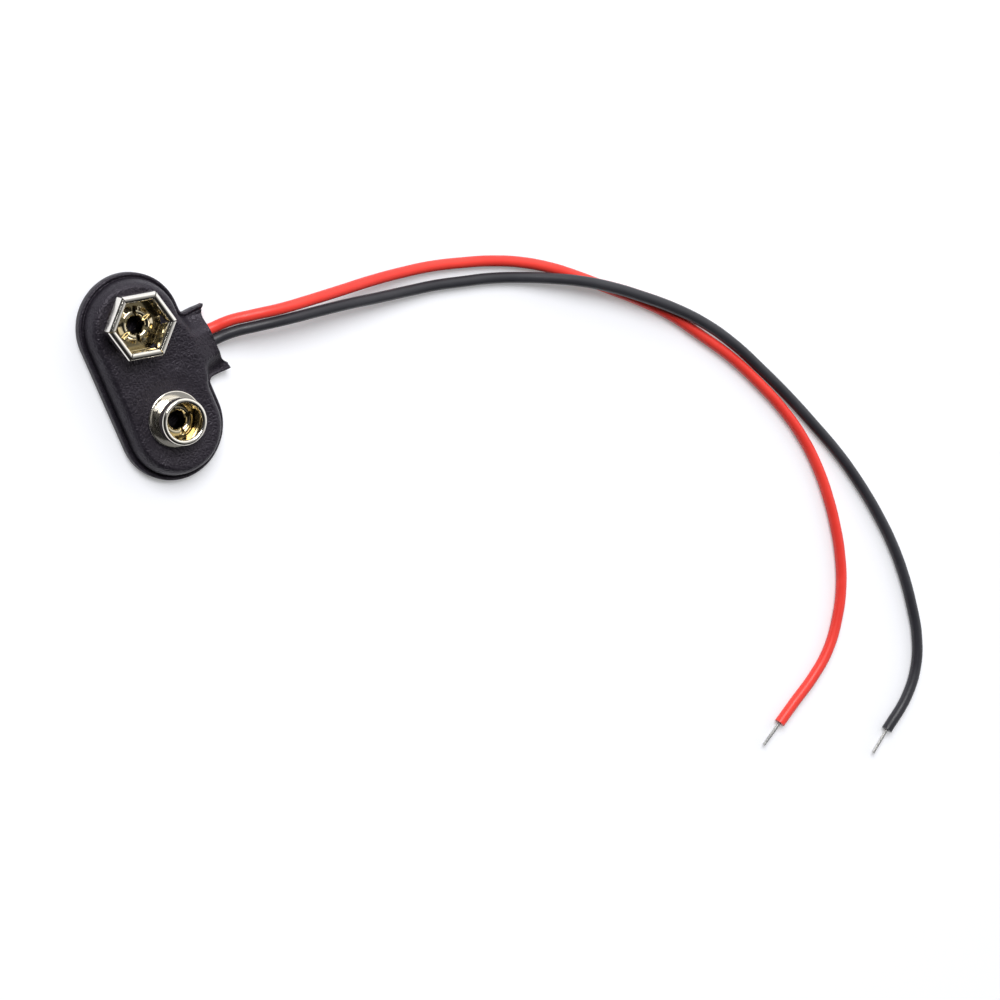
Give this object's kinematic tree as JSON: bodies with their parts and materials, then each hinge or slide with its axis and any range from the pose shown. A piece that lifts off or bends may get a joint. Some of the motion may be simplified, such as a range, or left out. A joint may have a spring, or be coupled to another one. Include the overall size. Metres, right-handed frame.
{
  "type": "9v battery snap",
  "caption": "Battery snap: a vinyl-covered plate that carries a hexagonal spring socket and a round stud, with a red and a black lead that end in bare tinned tips.",
  "frame": {"origin": "on the back face, midway between the axes of the two contacts", "axes": "+X out of the tab along the leads, +Y from the stud to the socket, +Z out of the face with the contacts"},
  "size_m": [0.0904, 0.1038, 0.0066],
  "materials": {
    "vinyl_front": "black leather-grained vinyl, soft sheen",
    "vinyl_back": "black leather-grained vinyl, soft sheen",
    "fibre_card": "pressed fibre, matt",
    "nickel_plate": "bright nickel plate",
    "plated_brass": "thin bright plate over brass",
    "solder": "bright solder",
    "red_pvc": "soft PVC, satin",
    "tinned_copper": "tinned strands",
    "black_pvc": "soft PVC, satin"
  },
  "bodies": {
    "root": {"front_cover": "vinyl_front", "back_cover": "vinyl_back", "insulator_card": "fibre_card", "hex_socket": "nickel_plate", "round_stud": "nickel_plate", "socket_eyelet": "plated_brass", "stud_eyelet": "plated_brass", "socket_solder": "solder", "stud_solder": "solder", "red_insulation": "red_pvc", "red_conductor": "tinned_copper", "black_insulation": "black_pvc", "black_conductor": "tinned_copper"}
  },
  "joints": []
}
